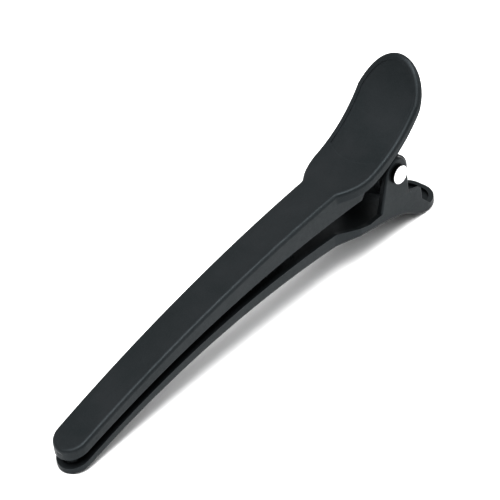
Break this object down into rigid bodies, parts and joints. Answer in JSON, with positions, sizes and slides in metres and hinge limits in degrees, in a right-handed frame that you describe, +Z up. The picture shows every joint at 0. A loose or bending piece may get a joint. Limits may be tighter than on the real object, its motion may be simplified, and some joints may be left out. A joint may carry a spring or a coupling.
{
  "type": "alligator hair clip",
  "caption": "Alligator hair clip with two arched plastic jaws, thumb levers, a riveted hinge and a torsion spring that holds it closed",
  "frame": {"origin": "middle of the clip's length and width, on the plane that the closed clip rests on", "axes": "+X from the jaw tips to the levers, +Y across the arms along the hinge axis, +Z up"},
  "size_m": [0.1122, 0.0168, 0.0374],
  "materials": {
    "arm_plastic": "fine satin grain",
    "rivet_metal": "bright, lightly scratched",
    "spring_steel": "drawn wire"
  },
  "bodies": {
    "lower_body": {"lower_arm": "arm_plastic", "hinge_rivet": "rivet_metal", "torsion_spring": "spring_steel"},
    "upper_body": {"upper_arm": "arm_plastic"}
  },
  "joints": [
    {"name": "jaw_hinge", "type": "hinge", "parent": "lower_body", "child": "upper_body", "pos_m": [0.04238, 0, 0.01545], "axis": [0, 1, 0], "range_deg": [0, 40], "stiffness_Nm_per_rad": 0.15, "springref_deg": -34.38, "deforming": ["torsion_spring"]}
  ]
}
